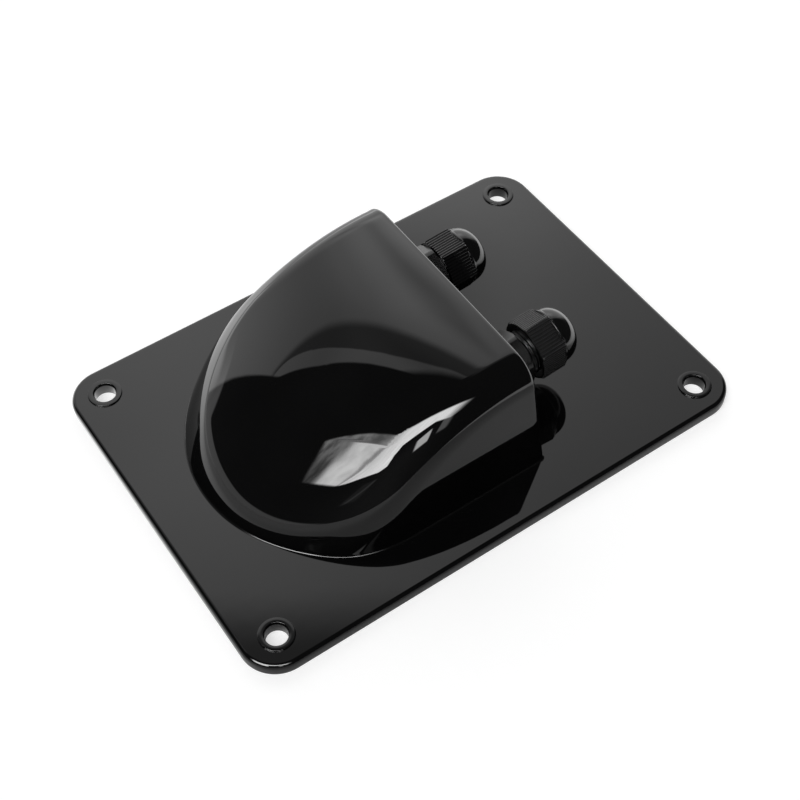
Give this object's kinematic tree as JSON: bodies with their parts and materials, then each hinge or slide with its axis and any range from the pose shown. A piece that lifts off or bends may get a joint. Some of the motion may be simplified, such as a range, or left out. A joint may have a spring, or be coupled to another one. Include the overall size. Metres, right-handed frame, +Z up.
{
  "type": "solar roof cable entry box",
  "caption": "Flat rectangular flange with a hollow teardrop hood, whose flat front face carries two cable glands that seal cables on their way through a roof.",
  "frame": {"origin": "middle of the flat underside of the flange", "axes": "+X along the flange's long side, the way the glands point; +Y along its short side; +Z up, away from the roof"},
  "size_m": [0.2, 0.14, 0.0508],
  "materials": {
    "housing_abs": "gloss",
    "gland_nylon": "satin",
    "gasket_rubber": "matte",
    "seal_rubber": "matte"
  },
  "bodies": {
    "box": {"housing": "housing_abs", "left_gland_body": "gland_nylon", "left_gland_gasket": "gasket_rubber", "left_gland_locknut": "gland_nylon", "right_gland_body": "gland_nylon", "right_gland_gasket": "gasket_rubber", "right_gland_locknut": "gland_nylon"},
    "left_seal": {"left_gland_seal": "seal_rubber"},
    "left_cap": {"left_gland_cap": "gland_nylon"},
    "right_seal": {"right_gland_seal": "seal_rubber"},
    "right_cap": {"right_gland_cap": "gland_nylon"}
  },
  "joints": [
    {"name": "left_cap_travel", "type": "slide", "parent": "box", "child": "left_seal", "axis": [0.9969, 0, 0.0785], "range_m": [0, 0.0075]},
    {"name": "left_cap_turn", "type": "hinge", "parent": "left_seal", "child": "left_cap", "pos_m": [0.03939, 0.02425, 0.02588], "axis": [0.9969, 0, 0.0785], "range_deg": [0, 1800]},
    {"name": "right_cap_travel", "type": "slide", "parent": "box", "child": "right_seal", "axis": [0.9969, 0, 0.0785], "range_m": [-0.003, 0.0045]},
    {"name": "right_cap_turn", "type": "hinge", "parent": "right_seal", "child": "right_cap", "pos_m": [0.04238, -0.02425, 0.02612], "axis": [0.9969, 0, 0.0785], "range_deg": [-720, 1080]}
  ],
  "couplings": [
    {"joint": "left_cap_travel", "follows": "left_cap_turn", "m_per_rad": 0.00023873},
    {"joint": "right_cap_travel", "follows": "right_cap_turn", "m_per_rad": 0.00023873}
  ]
}
